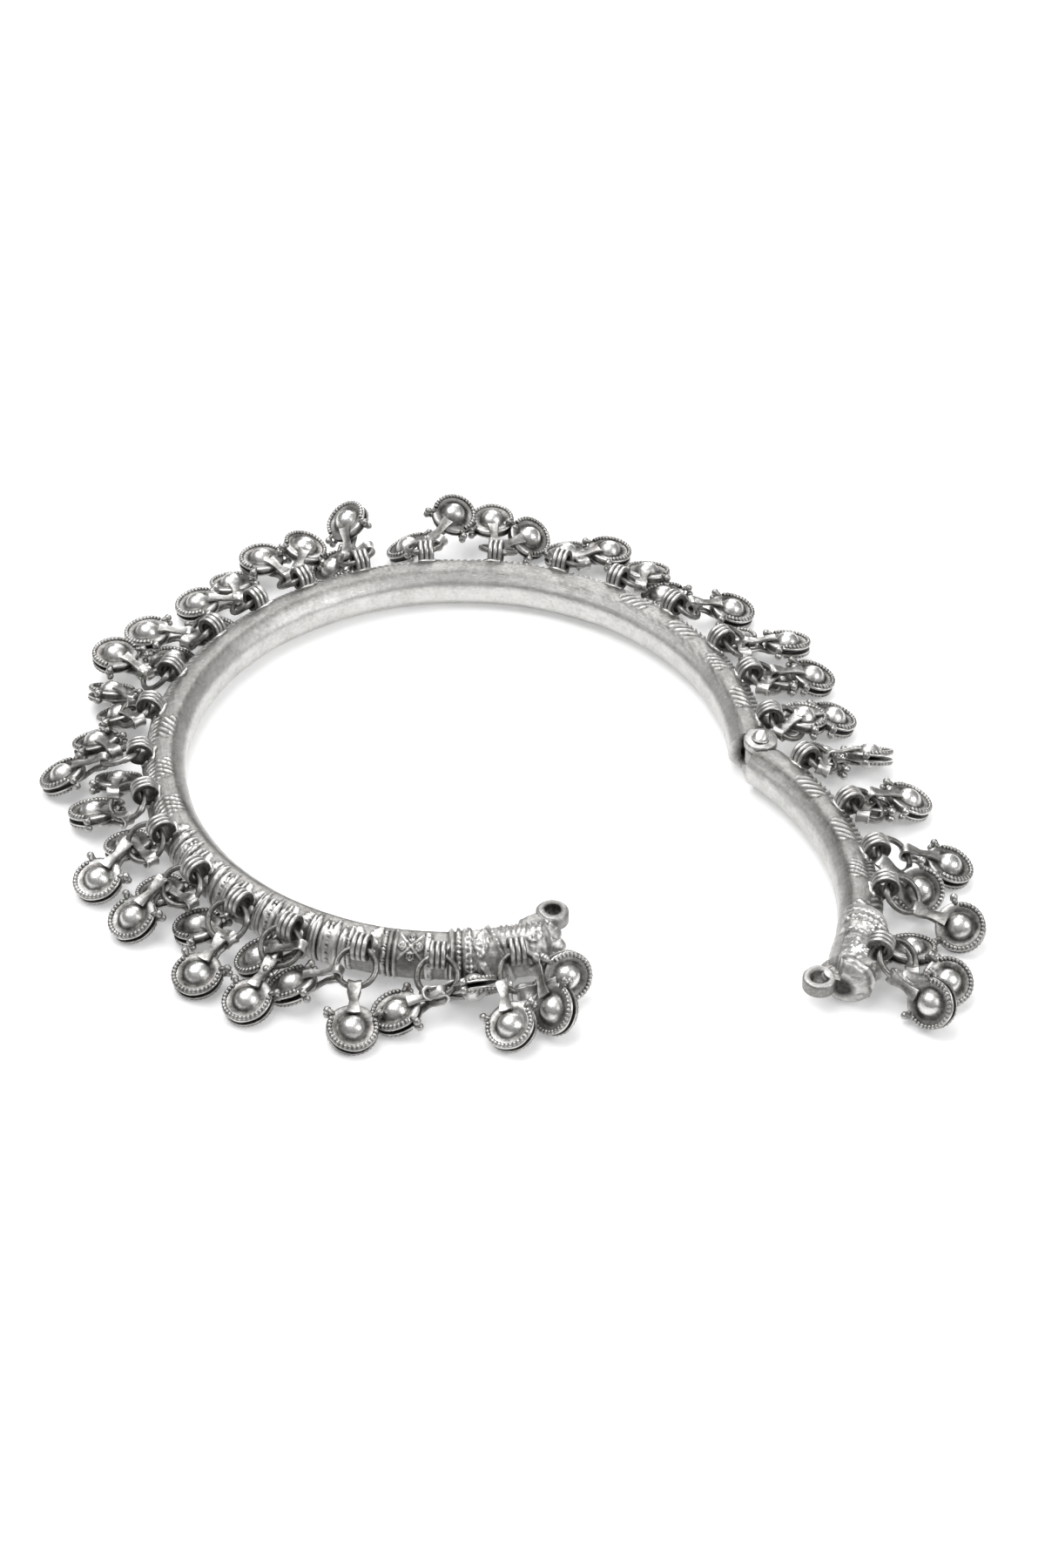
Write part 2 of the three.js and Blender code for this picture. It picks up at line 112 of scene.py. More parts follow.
# Bails, jump rings and bells. A bell's edges are the outermost points of its rim, as radius and height
BAIL_RISE = 43.0
BAIL_DISTANCE = 6.308
BAIL_RADIUS = 2.5
BAIL_HOLE = 1.45
BAIL_WIDTH = 2.9
BAIL_GROOVE = 0.3
JUMP_RADIUS = 3.45
JUMP_OFFSET = 3.8
WIRE_RADIUS = 0.54
STRAP_REACH = 8.2
DOME_RADIUS = 2.45
FLOOR_CLEARANCE = 0.1
BALL_RADIUS = 0.74
BALL_RING = 5.35
BALL_ANGLE = 125.0
BALL_HEIGHT = 0.68
STUB_RING = 4.55
RIM_RING = 3.95
RIM_HEIGHT = 0.98
RIM_WIRE = 0.5
RIM_SPREAD = 116.0
BEADS = 22
BELL_SIDES = 40
BELL_EDGES = ((4.45, 0.55), (4.35, 1.0), (3.95, 1.38), (3.65, 1.34))

# One row per bail: angle, then the jump ring's dip, skew and twist, then its bells as
# (station on the jump ring, swing from straight outward, roll about the strap, lift off the floor)
RING_CLUSTERS = (
    (280.8, 32, 0, 5, ((-60, -2, 25, 0), (95, 8, 50, 0), (0, 105, 60, 0))),
    (267.6, 30, 0, 0, ((15, -75, 0, 0), (-25, 110, -50, 0))),
    (254.5, 30, 0, -5, ((10, 15, -5, 0), (-60, -76, 10, 0))),
    (241.2, 32, 0, -10, ((0, 0, 5, 0), (105, -72, 0, 0))),
    (230.3, 34, 0, -15, ((20, 10, 0, 0), (40, -92, 0, 0))),
    (218.7, 34, 0, -20, ((-60, 10, 5, 0), (70, -82, 0, 0))),
    (205.9, 34, 0, -20, ((-30, 25, 0, 0), (70, -80, 0, 0))),
    (195.0, 30, 0, -20, ((60, -50, 10, 0), (-60, -105, 0, 0))),
    (183.5, 18, 0, 20, ((0, 0, 10, 0), (-60, -60, 0, 0))),
    (170.3, 32, 0, -10, ((115, -46, 0, 0), (-65, -45, 20, 0))),
    (159.1, 34, 0, -20, ((-15, -20, 0, 2.5), (-20, -104, 0, 0))),
    (144.8, 34, 0, -20, ((10, 25, 0, 1), (60, -90, 0, 0))),
    (133.1, 34, 0, -20, ((-5, 42, 0, 0.5), (-10, -28, 0, 0))),
    (122.3, 30, 0, -15, ((0, 10, 0, 2), (-35, -40, 20, 2.5))),
    (110.1, 20, 0, -10, ((0, -15, -34, 3.4), (-70, 80, 0, 0))),
    (97.1, 20, 0, -5, ((-70, 55, 0, 0), (-30, -40, 24, 4.2))),
    (83.4, 30, 0, 5, ((15, 12, 0, 3), (5, -42, 35, 0))),
    (70.3, 30, 0, 10, ((-10, -40, 0, 1), (-60, 45, 0, 0))),
    (58.3, 34, 0, 15, ((-70, 20, 0, 0),)),
    (45.0, 34, 0, 20, ((10, -40, 0, 0), (0, 92, 0, 0))),
    (31.0, 34, 0, 20, ((0, -20, -15, 1), (-70, 70, 0, 0))),
    (20.0, 34, -11, 10, ((45, -5, 0, 0), (-105, 46, 0, 0))),
    (6.8, 30, -11, 10, ((50, 19, 0, 0), (-110, 46, 0, 2.5))),
)
GATE_CLUSTERS = (
    (-9.0, 30, -11, 10, ((20, -19, -30, 0), (-110, 45, 20, 0))),
    (-23.3, 30, -11, 10, ((60, -5, 0, 0), (-115, 50, 0, 0))),
    (-36.4, 32, -11, 10, ((40, -15, 0, 0), (-130, -40, 40, 0))),
    (-46.0, 32, -11, 10, ((-20, -25, 35, 0),)),
    (-61.7, 32, -6, 15, ((-50, 20, 30, 0), (-70, -30, 60, 0), (-10, 100, 0, 0))),
)

# Which panels lie between which bails of the ring, counted from the clasp, and the angles of the plainer back
LOZENGE_GAP = 1
TONGUE_GAPS = (2, 3, 4, 5)
PLAIN_BACK = (55, 165)

# Silver: scale and detail of its noises, and how far from dark to bright it is at some rubbed values
CLOUDS, SPECKS, GRAIN = (260, 4), (1500, 6), (4200, 3)
SCRATCH_STRETCH = (0.35, 9.0, 1.0)
COLOUR_STOPS = ((0.28, 0.12), (0.55, 0.45), (0.8, 0.84))

# Stage: the point of the anklet in the picture's middle, the floor's half width, and each light's name, place,
# size and share of the key light's power
PICTURE_MIDDLE = (11.9, -2.9)
FLOOR_HALF = 3.0
LIGHTS = (
    ("key", (-0.25, 0.15, 0.75), 0.7, 1.0),
    ("fill", (0.6, -0.25, 0.5), 0.35, 0.45),
    ("back", (0.1, 0.8, 0.4), 0.4, 0.5),
)


# Meshes

class Shell:
    """Closed grids of points gathered into one mesh, with how rubbed each point is, lowered where shade is painted,
    and its place on the piece.
    """

    def __init__(self):
        self.points, self.quads, self.triangles, self.wear, self.flow = [], [], [], [], []
        self.count = 0

    def add(self, points, quads, triangles, wear, flow):
        """Adds one closed surface, turned so that its faces point outwards: its enclosed volume is made positive."""
        corners = np.concatenate([triangles, quads[:, [0, 1, 2]], quads[:, [0, 2, 3]]])
        a, b, c = (points[corners[:, k]] - points.mean(0) for k in range(3))
        if np.einsum("ij,ij->i", a, np.cross(b, c)).sum() < 0:
            quads, triangles = quads[:, ::-1], triangles[:, ::-1]
        self.take(points, quads, triangles, wear, flow)

    def take(self, points, quads, triangles, wear, flow):
        """Takes in points and faces, whose corners count on from the points that are there."""
        self.points.append(points)
        self.quads.append(quads + self.count)
        self.triangles.append(triangles + self.count)
        self.wear.append(wear)
        self.flow.append(flow)
        self.count += len(points)

    def grid(self, points, wear, flow=None, ring=False):
        """Rows of points, each row closed on itself. The ends are closed with a pole, or joined when ring is true."""
        rows, columns = points.shape[:2]
        flat = points.reshape(-1, 3)
        wear = np.broadcast_to(wear, (rows, columns)).reshape(-1)
        flow = flat if flow is None else flow.reshape(-1, 3)
        index = np.arange(rows * columns).reshape(rows, columns)
        below = index if ring else index[:-1]
        above = np.roll(index, -1, 0) if ring else index[1:]
        quads = np.stack([below, np.roll(below, -1, 1), np.roll(above, -1, 1), above], -1).reshape(-1, 4)
        triangles = np.zeros((0, 3), int)
        if not ring:
            poles = np.stack([points[0].mean(0), points[-1].mean(0)])
            first, last = rows * columns, rows * columns + 1
            start = np.stack([index[0], np.full(columns, first), np.roll(index[0], -1)], -1)
            end = np.stack([index[-1], np.roll(index[-1], -1), np.full(columns, last)], -1)
            triangles = np.concatenate([start, end])
            flat = np.concatenate([flat, poles])
            wear = np.concatenate([wear, [wear[0], wear[-1]]])
            flow = np.concatenate([flow, flow[:1], flow[-1:]])
        self.add(flat, quads, triangles, wear, flow)

    def placed(self, other, basis, centre, rubbed):
        """Adds a copy of another shell, turned by the rows of a basis and moved to a centre."""
        points, quads, triangles, wear, flow = (
            np.concatenate(part) for part in (other.points, other.quads, other.triangles, other.wear, other.flow))
        self.take(points @ basis + centre, quads, triangles, wear + rubbed, flow)

    def finish(self, name, body, nodes, material, slot):
        """Makes the object in the frame, in metres, ties it to its body and material, and hides the CAD nodes it
        stands in for.
        """
        points = in_frame(np.concatenate(self.points), body)
        quads, triangles = np.concatenate(self.quads), np.concatenate(self.triangles)
        mesh = bpy.data.meshes.new(name)
        mesh.vertices.add(len(points))
        mesh.vertices.foreach_set("co", points.astype(np.float32).ravel())
        mesh.loops.add(quads.size + triangles.size)
        mesh.loops.foreach_set("vertex_index", np.concatenate([quads.ravel(), triangles.ravel()]).astype(np.int32))
        starts = np.concatenate([np.arange(len(quads)) * 4, quads.size + np.arange(len(triangles)) * 3])
        mesh.polygons.add(len(starts))
        mesh.polygons.foreach_set("loop_start", starts.astype(np.int32))
        mesh.update(calc_edges=True)
        mesh.polygons.foreach_set("use_smooth", np.ones(len(starts), bool))
        mesh.set_sharp_from_angle(angle=math.radians(60))
        wear = mesh.attributes.new("wear", "FLOAT", "POINT")
        wear.data.foreach_set("value", np.clip(np.concatenate(self.wear), 0, 1).astype(np.float32))
        flow = mesh.attributes.new("flow", "FLOAT_VECTOR", "POINT")
        flow.data.foreach_set("vector", np.concatenate(self.flow).astype(np.float32).ravel())
        mesh.materials.append(material)
        piece = bpy.data.objects.new(name, mesh)
        bpy.context.scene.collection.objects.link(piece)
        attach(piece, body)
        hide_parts(*nodes)


def in_frame(points, body):
    """Points of the closed anklet in the frame: the gate's are turned about the pin by its opening at rest."""
    if body == "gate":
        turn = math.radians(REST_OPENING)
        x, y = points[:, 0] - PIN_X, points[:, 1]
        turned_x = PIN_X + x * math.cos(turn) - y * math.sin(turn)
        points = np.stack([turned_x, x * math.sin(turn) + y * math.cos(turn), points[:, 2]], -1)
    return (points + CENTRE) / 1000


def outward(angle):
    """Unit vector or vectors pointing out of the ring at an angle."""
    turn = np.radians(angle)
    return np.stack([np.cos(turn), np.sin(turn), np.zeros_like(turn)], -1)


def turned(vector, axis, angle):
    """A vector turned about a unit axis."""
    turn = math.radians(angle)
    return (vector * math.cos(turn) + np.cross(axis, vector) * math.sin(turn)
            + axis * np.dot(axis, vector) * (1 - math.cos(turn)))


def dipped(out, angle):
    """A level direction turned down by an angle."""
    return out * math.cos(math.radians(angle)) - UP * math.sin(math.radians(angle))


def full_turn(count):
    """Equally spaced angles of one turn."""
    return np.linspace(0, 2 * math.pi, count, endpoint=False)


def laid_out(centre, directions, *distances):
    """Points at three distances from a centre, each along its own direction."""
    return centre + np.stack(np.broadcast_arrays(*distances), -1) @ np.stack(directions)


def revolved(radius, height, turn):
    """Points at radii and heights, turned about an upright axis."""
    return np.stack(np.broadcast_arrays(radius * np.cos(turn), radius * np.sin(turn), height), -1)


UP = np.array([0.0, 0.0, 1.0])
LUG_OUT = outward(LUG_ANGLE)
LUG_BACK = -np.cross(UP, LUG_OUT)
LUG = LUG_OUT * LUG_RING_RADIUS


def hump(distance, width):
    """A smooth rise of height one at no distance, down to nothing at a width: a squared cosine."""
    return np.where(np.abs(distance) < width, np.cos(distance / width * math.pi / 2) ** 2, 0.0)


def step(value, edge=0.15):
    """Nothing below zero, one above an edge, and a ramp between."""
    return np.clip(value / edge, 0, 1)


def waver(points, size, amount):
    """An uneven hand-worked surface: the sum of a few sines across the points, each wave about one size long."""
    waves = RANDOM.normal(size=(5, 3)) * 2 * math.pi / size
    shifts = RANDOM.uniform(0, 2 * math.pi, 5)
    return amount * np.sin(points @ waves.T / 1.7 + shifts).sum(-1) / 2.2


# The tube's section and its carving

def section_outline():
    """The section as ways, radii and heights. Half a circle, a flat, a chamfer, the wall, a chamfer and a flat are
    joined and then averaged with a bell-shaped weight, which softens the creases."""
    corners = np.array([
        (HEART, TUBE_HEIGHT),
        (INNER_RADIUS + CHAMFER, TUBE_HEIGHT),
        (INNER_RADIUS, TUBE_HEIGHT - CHAMFER),
        (INNER_RADIUS, CHAMFER),
        (INNER_RADIUS + CHAMFER, 0),
        (HEART, 0),
    ])
    knots = QUARTER + np.concatenate([[0], np.cumsum(np.hypot(*np.diff(corners, axis=0).T))])
    way = -QUARTER + (knots[-1] + QUARTER) * np.arange(SECTION_SAMPLES) / SECTION_SAMPLES
    turn = np.clip(way, -QUARTER, QUARTER) / HALF
    radius = np.where(way < QUARTER, HEART + HALF * np.cos(turn), np.interp(way, knots, corners[:, 0]))
    height = np.where(way < QUARTER, HALF + HALF * np.sin(turn), np.interp(way, knots, corners[:, 1]))
    spread = CREASE_SOFTNESS / (way[1] - way[0])
    reach = int(3 * spread)
    weights = np.exp(-0.5 * (np.arange(-reach, reach + 1) / spread) ** 2)
    weights /= weights.sum()
    soft = [np.convolve(np.pad(line, reach, mode="wrap"), weights, mode="valid") for line in (radius, height)]
    return way, soft[0], soft[1], knots[-1] + QUARTER


WAY, SECTION_RADIUS, SECTION_HEIGHT, GIRTH = section_outline()


def section_at(way):
    """Radius, height and outward direction of the section at each way."""
    ahead, behind = way + 0.05, way - 0.05
    radius, height, ahead_radius, ahead_height, behind_radius, behind_height = (
        np.interp(where, WAY, line, period=GIRTH)
        for where in (way, ahead, behind) for line in (SECTION_RADIUS, SECTION_HEIGHT))
    out_radius, out_height = ahead_height - behind_height, behind_radius - ahead_radius
    length = np.hypot(out_radius, out_height)
    return radius, height, out_radius / length, out_height / length


def highest(*forms):
    """The highest of several forms at each point."""
    return reduce(np.maximum, forms)


def ridge(along, place, width=0.42):
    """A plain raised rib across the tube."""
    return hump(along - place, width)


def beading(along, way, place, pitch=0.62, radius=0.36):
    """A row of half balls across the tube."""
    across = np.mod(way, pitch) - pitch / 2
    return np.sqrt(np.clip(1 - ((along - place) / radius) ** 2 - (across / radius) ** 2, 0, 1))


def tongue(along, way, place, width, top):
    """A flat lobe across the tube that narrows to a point at its top, with a groove down its middle."""
    half = width * np.clip((top - way) / 3.0, 0, 1) ** 0.9
    lobe = step(half - np.abs(along - place), 0.22)
    return lobe * (1 - 0.45 * hump(along - place, 0.18) * step(top - 1.4 - way, 0.5))


def strokes(along, way, middle, lean, pitch=1.05, width=0.34, reach=1.35):
    """Short leaning leaf strokes side by side: a rib repeated along the tube, sheared, with rounded ends."""
    sheared = along - (way - middle) * lean
    rib = hump(np.mod(sheared, pitch) - pitch / 2, width)
    return rib * np.sqrt(np.clip(1 - ((way - middle) / reach) ** 2, 0, 1))


def leaf(along, way, place, middle, length, width, lean):
    """An oval leaf with a raised edge, a midrib and side veins."""
    x = along - place
    y = way - middle
    a = x * math.cos(lean) + y * math.sin(lean)
    b = -x * math.sin(lean) + y * math.cos(lean)
    inside = np.clip(1 - (a / width) ** 2 - (b / length) ** 2, 0, 1)
    edge = hump(inside - 0.16, 0.16)
    veins = 0.45 * np.cos((b - 0.8 * np.abs(a)) * 2 * math.pi / 0.62) ** 2
    return np.where(inside > 0, np.sqrt(inside) * (0.45 + veins) + 0.5 * edge, 0)


def lozenge(along, way, place, middle):
    """Two crossing ribs between plain bands, with a ringed dot in each of the four corners between them."""
    x, y = along - place, (way - middle) * 0.92
    within = (np.abs(x) < 2.3) & (np.abs(y) < 2.7)
    cross = np.maximum(hump(x - y, 0.34), hump(x + y, 0.34))
    dots = 0
    for dot_x, dot_y in ((0, 1.55), (0, -1.55), (1.5, 0), (-1.5, 0)):
        distance = np.hypot(x - dot_x, y - dot_y)
        dots = highest(dots, hump(distance - 0.55, 0.2), hump(distance, 0.28))
    return np.where(within, np.maximum(cross * 0.8, dots), 0)


def tongue_panel(along, way):
    """The front's panels: pointed lobes side by side, beads between them, and leaf strokes by the bails."""
    places = ((-2.8, 7.9), (-1.05, 7.2), (0.95, 7.7), (2.6, 6.7))
    foliage = (np.abs(along) > 4.1) & (np.abs(along) < PANEL_HALF)
    below = step(6.6 - way)
    return highest(
        *(tongue(along, way, place, 0.78, top) for place, top in places),
        beading(along, way, -0.1, 0.7, 0.34) * step(6.4 - way),
        0.8 * ridge(along, -3.75, 0.3) * below,
        0.8 * beading(along, way, 3.75) * below,
        np.where(foliage, 0.8 * leaf(np.abs(along), way, 5.2, 5.6, 1.5, 0.8, 0.5), 0))


def lozenge_panel(along, way):
    """The panel beside the head: crossing ribs with ringed dots, double plain bands and beaded ribs."""
    return highest(
        lozenge(along, way, 1.6, 4.4),
        *(ridge(along, place, 0.36) * step(7.4 - way) for place in (-1.3, -2.2, 4.4)),
        *(beading(along, way, place) * step(7.2 - way) for place in (-3.2, 5.0)),
        0.8 * leaf(along, way, -4.9, 6.2, 1.7, 0.9, -0.4))


def stroke_panel(along, way):
    """The sides' panels: two rows of leaf strokes that lean against each other, and a rib beside each bail."""
    upper = strokes(along, way, 6.5, 0.8, 1.55, 0.5, 1.7) * step(3.3 - np.abs(along + 0.4))
    return np.maximum(upper, back_panel(along, way))


def back_panel(along, way):
    """The back's panels, carved on the outer side alone: leaf strokes between a rib beside each bail."""
    lower = strokes(along, way, 3.2, -0.6, 1.3, 0.42, 1.5) * step(4.6 - np.abs(along))
    ribs = 0.6 * ridge(np.abs(along), 5.3, 0.35) * step(4.6 - way)
    return np.maximum(0.85 * lower, ribs)


def head_carving(along, way, neck):
    """A beast's head, along measured back from its tip: neck ribs, a flower ridge, leaf eyes and a leaning band."""
    lean = along - neck + 8.2 - (way - 4.5) * 0.35
    carving = highest(
        ridge(along, neck, 0.7),
        beading(along, way, neck - 1.3, 0.8, 0.46),
        0.8 * ridge(along, neck - 2.4, 0.45),
        0.9 * beading(along, way, neck - 3.3, 0.9, 0.5),
        1.2 * leaf(along, way, neck - 5.4, 4.8, 2.1, 1.15, 0.25),
        0.9 * leaf(along, way, neck - 5.6, 0.4, 1.7, 1.0, -0.3),
        0.95 * hump(lean, 0.55),
        0.75 * strokes(along, way, 7.2, -0.5, 0.95) * step(neck - 8.6 - along),
        leaf(along, way, 5.0, 5.4, 1.7, 1.2, 1.1),
        0.9 * leaf(along, way, 5.4, 1.2, 1.6, 1.1, -0.7),
        0.8 * ridge(along, 2.6, 0.5) * step(7.0 - way))
    return carving * step(10.0 - way, 1.0) * step(way + 4.0, 1.5) * step(along - 0.6, 0.8)


def carving_height(angle, way, clusters, ends, head_spread, depth):
    """How far each point stands out of the plain tube: the panels between the bails, and the head at the far end."""
    away = np.sign(ends[1] - ends[0])
    arc = math.radians(1) * RELIEF_RADIUS
    bails = [row[0] for row in clusters]
    height = np.zeros(np.broadcast(angle, way).shape)
    for gap, (one, other) in enumerate(zip(bails[:-1], bails[1:])):
        along = (angle - (one + other) / 2) * arc
        half = abs(one - other) / 2 * arc
        near = np.abs(along) < half
        panel = back_panel if PLAIN_BACK[0] < (one + other) / 2 < PLAIN_BACK[1] else stroke_panel
        if away > 0 and gap == LOZENGE_GAP:
            panel = lozenge_panel
        elif away > 0 and gap in TONGUE_GAPS:
            panel = tongue_panel
        scaled = along * PANEL_HALF / half
        height = np.where(near, np.maximum(height, panel(scaled, way)), height)
    height = height * step(way - BAND_LOW, 2.0) * step(BAND_HIGH - way, 0.6)
    from_tip = (ends[1] - angle) * away * arc
    spread = head_spread * arc
    in_head = step(spread + 1.0 - from_tip, 0.8)
    height = height * (1 - in_head) + in_head * head_carving(from_tip, way, spread)
    outer = 0.4 + 0.6 * step(way + 3.6, 2.0) * step(9.0 - way, 2.5)
    swell = 0.75 + 0.4 * hump(from_tip - 0.55 * spread, 0.45 * spread) - 0.5 * hump(from_tip - 3.2, 2.4)
    bulge = HEAD_RAISE * step(spread - from_tip, 2.5) * outer * swell * step(way + 5.8, 1.5)
    return height * depth * (1 + 0.8 * in_head) + bulge, height


def clear_post(points, centre, room, low, high, direction):
    """Points within a room of a centre, and between two heights, are pushed along a direction until they are out."""
    offset = points - centre
    along = offset @ direction
    across = offset - along[..., None] * direction
    across[..., 2] = 0
    apart = np.linalg.norm(across, axis=-1)
    needed = np.sqrt(np.clip(room ** 2 - apart ** 2, 0, None))
    inside = (apart < room) & (along < needed) & (along > -room) & (points[..., 2] > low) & (points[..., 2] < high)
    return points + np.where(inside, needed - along, 0)[..., None] * direction


def clear_slot(points, centre, room, low, high, side):
    """Points in a straight slot, a room wide to either side of a centre, are pushed sideways out of it."""
    offset = points - centre
    along = offset @ np.cross(UP, side)
    across = offset @ side
    inside = ((along > -room) & (along < LUG_TRAVEL) & (across < room) & (across > -room)
              & (points[..., 2] > low) & (points[..., 2] < high))
    return points + np.where(inside, room - across, 0)[..., None] * side


def tube_surface(ends, head_spread, clusters, rows, depth):
    """The carved tube: the section at each angle, pushed outwards by the carving, with a hole in its hinge end and
    a rounded tip. Returns its points, how rubbed they are with painted shade on the front's inner chamfer and wall,
    and their places along and round the tube."""
    away = np.sign(ends[1] - ends[0])
    way = np.concatenate([
        np.linspace(BAND_LOW, BAND_HIGH, BAND_COLUMNS, endpoint=False),
        np.linspace(BAND_HIGH, GIRTH + BAND_LOW, WALL_COLUMNS, endpoint=False),
    ])
    degree = math.radians(1) * HEART
    inset, scale = np.array(HINGE_ROWS).T
    tip_inset, tip_scale = np.array(TIP_ROWS).T
    near = ends[0] + away * np.concatenate([inset, np.linspace(0.3, 2.0, 7)]) / degree
    middle = np.linspace(near[-1], ends[1] - away * 2.2 / degree, rows)[1:]
    angles = np.concatenate([near, middle, ends[1] - away * tip_inset / degree])
    full_rows = np.ones(len(near) - len(scale) + len(middle))
    scales = np.concatenate([scale, full_rows, tip_scale])[:, None]
    radius, height, out_radius, out_height = section_at(way)
    angle_grid, way_grid = angles[:, None], way[None, :]
    rise, rubbed = carving_height(angle_grid, way_grid, clusters, ends, head_spread, depth)
    rise = rise * (scales > 0.9)
    ring = (radius + rise * out_radius - HEART) * scales + HEART
    level = (height + rise * out_height - HALF) * scales + HALF
    points = outward(angles)[:, None, :] * ring[..., None] + level[..., None] * UP
    normals = outward(angles)[:, None, :] * out_radius[:, None] + out_height[:, None] * UP
    from_tip = (ends[1] - angle_grid) * away * degree
    on_head = step(head_spread * degree - from_tip, 1.5) * step(way_grid + 5.5, 2) * step(10.5 - way_grid, 1)
    carved = step(way_grid - BAND_LOW, 2) * step(BAND_HIGH - way_grid, 1)
    rough = 0.25 + 0.75 * carved + 2.2 * on_head
    points = points + normals * (waver(points, 9.0, 0.05) + rough * waver(points, 1.6, 0.035))[..., None]
    points[..., 2] = np.maximum(points[..., 2], 0)
    wear = tube_wear(way_grid, rubbed, carved, on_head)
    # Painted shade: the upper inner chamfer and the inner wall are darkened on the ring's half that faces the camera,
    # and by a smaller share all along the gate
    front = step(angle_grid - 176, 25) if away > 0 else 0.6
    wear = wear - front * (0.34 * hump(way_grid - 8.9, 1.9) + 0.12 * hump(way_grid - 12.0, 1.2))
    wear = np.where(scales < 0.5, 0.05, wear)
    return points, wear, np.stack(np.broadcast_arrays(angle_grid * degree, way_grid, 0.0 * way_grid), -1)


def tube_wear(way, rubbed, carved, on_head):
    """How rubbed the tube is: raised carving is bright, and points lower than the average round them are dark."""
    soft = rubbed
    for axis in (0, 1):
        for _ in range(2):
            soft = (np.roll(soft, 1, axis) + soft + np.roll(soft, -1, axis)) / 3
    plain = 0.56 + 0.14 * step(way - 8.2, 2.0) + 0.08 * step(way - 11.5, 0.8) + 0.22 * on_head
    wear = plain + 0.46 * rubbed - 1.1 * np.clip(soft - rubbed, 0, 1)
    return wear - 0.12 * carved * (1 - step(rubbed, 0.25))


def turned_form(shell, profile, place, sides, wear, oval=1.0):
    """A profile of (radius, height) pairs turned about an upright axis, a little uneven."""
    radius, height = np.array(profile).T[..., None]
    points = revolved(radius, height, full_turn(sides)) * [oval, 1, 1] + place
    points = points + (points - place) * waver(points, 2.0, 0.012)[..., None]
    shell.grid(points, np.array(wear)[:, None] if np.ndim(wear) else wear)


def ball(shell, centre, radii, axes, wear, rough, rows, columns):
    """A ball with three radii along the rows of its axes, and an uneven surface if it is rough."""
    tilt = np.linspace(0, math.pi, rows + 2)[1:-1, None]
    points = revolved(np.sin(tilt), np.cos(tilt), full_turn(columns)) * radii
    if rough:
        points = points * (1 + waver(points, 1.3, rough))[..., None]
    shell.grid(points @ axes + centre, wear)


def post_profile(radius, low, high, soft=0.25, hole=None):
    """The outline of a round post with softened edges, or of a thick washer if it has a hole."""
    outer = [(radius - soft, low), (radius, low + soft), (radius, high - soft), (radius - soft, high)]
    if hole is None:
        return outer
    rim = soft * 0.5
    return [(hole, low + rim), (hole + rim, low)] + outer + [(hole + rim, high), (hole, high - rim)]


def washer(shell, place, radius, low, high, hole, wear):
    """A washer: its closed outline turned about an upright axis, a little uneven, with painted shade on the wall of
    its hole.
    """
    profile = np.array(post_profile(radius, low, high, 0.3, hole))
    # Painted shade: the wall of the hole is made dark, standing in for the shadow seen through the eye, while the
    # faces keep their rubbing
    rubbed = wear * step(profile[:, 0] - hole - 0.05, 0.3)
    points = revolved(profile[:, 0], profile[:, 1], full_turn(40)[:, None]) + place
    points[..., :2] += waver(points, 2.5, 0.08)[..., None]
    shell.grid(points, rubbed, ring=True)


def lug_neck(shell, back, out, up, radii, rough):
    """The rounded lump between a lug and its head: a ball at distances back, out and up from the lug's middle."""
    centre = LUG + LUG_BACK * back + LUG_OUT * out + UP * up
    ball(shell, centre, radii, np.stack([LUG_BACK, LUG_OUT, UP]), 0.5, rough, 16, 26)


def tip_lobes(shell, angle, away, lobes):
    """The snout's rounded lobes on the tip, each given by its radius in the ring, its height and its size."""
    out = outward(angle)
    tangent = np.cross(UP, out) * away
    for radius, height, size in lobes:
        centre = out * radius + UP * height - tangent * (size * 0.96)
        ball(shell, centre, (size, size * 1.15, size * 0.85), np.stack([tangent, out, UP]), 0.6, 0.08, 12, 18)


def ring_body(depth):
    """The ring: tube, hinge tongues, upper lug with its pierced eye, its neck and the snout."""
    shell = Shell()
    points, wear, flow = tube_surface(RING_ENDS, RING_HEAD, RING_CLUSTERS, RING_ROWS, depth)
    room = KNUCKLE_RADIUS + HINGE_GAP + GRID_ROOM
    points = clear_post(points, PIN, room, TONGUES[0][1], TONGUES[1][0], np.array([0.0, 1, 0]))
    side = (LUG - PIN) / np.linalg.norm(LUG - PIN)
    room = LUG_RADIUS + LUG_GAP
    points = clear_slot(points, LUG, room, LOWER_LUG[0] - LUG_GAP, UPPER_LUG[0], side)
    shell.grid(points, wear, flow)
    for low, high in TONGUES:
        turned_form(shell, post_profile(TONGUE_RADIUS, low, high, 0.3), PIN, 40, 0.66)
    washer(shell, LUG, LUG_RADIUS, UPPER_LUG[0], UPPER_LUG[1], LUG_HOLE, 0.42)
    washer(shell, LUG, LUG_RADIUS - 0.25, UPPER_LUG[1] - 0.4, UPPER_LUG[1] + 0.22, LUG_HOLE, 0.6)
    lug_neck(shell, 3.2, 1.4, 7.2, (3.5, 2.9, 1.3), 0.09)
    tip_lobes(shell, RING_ENDS[1], 1, ((54.6, 7.45, 1.7), (55.8, 1.7, 1.6), (57.0, 7.0, 1.3)))
    return shell


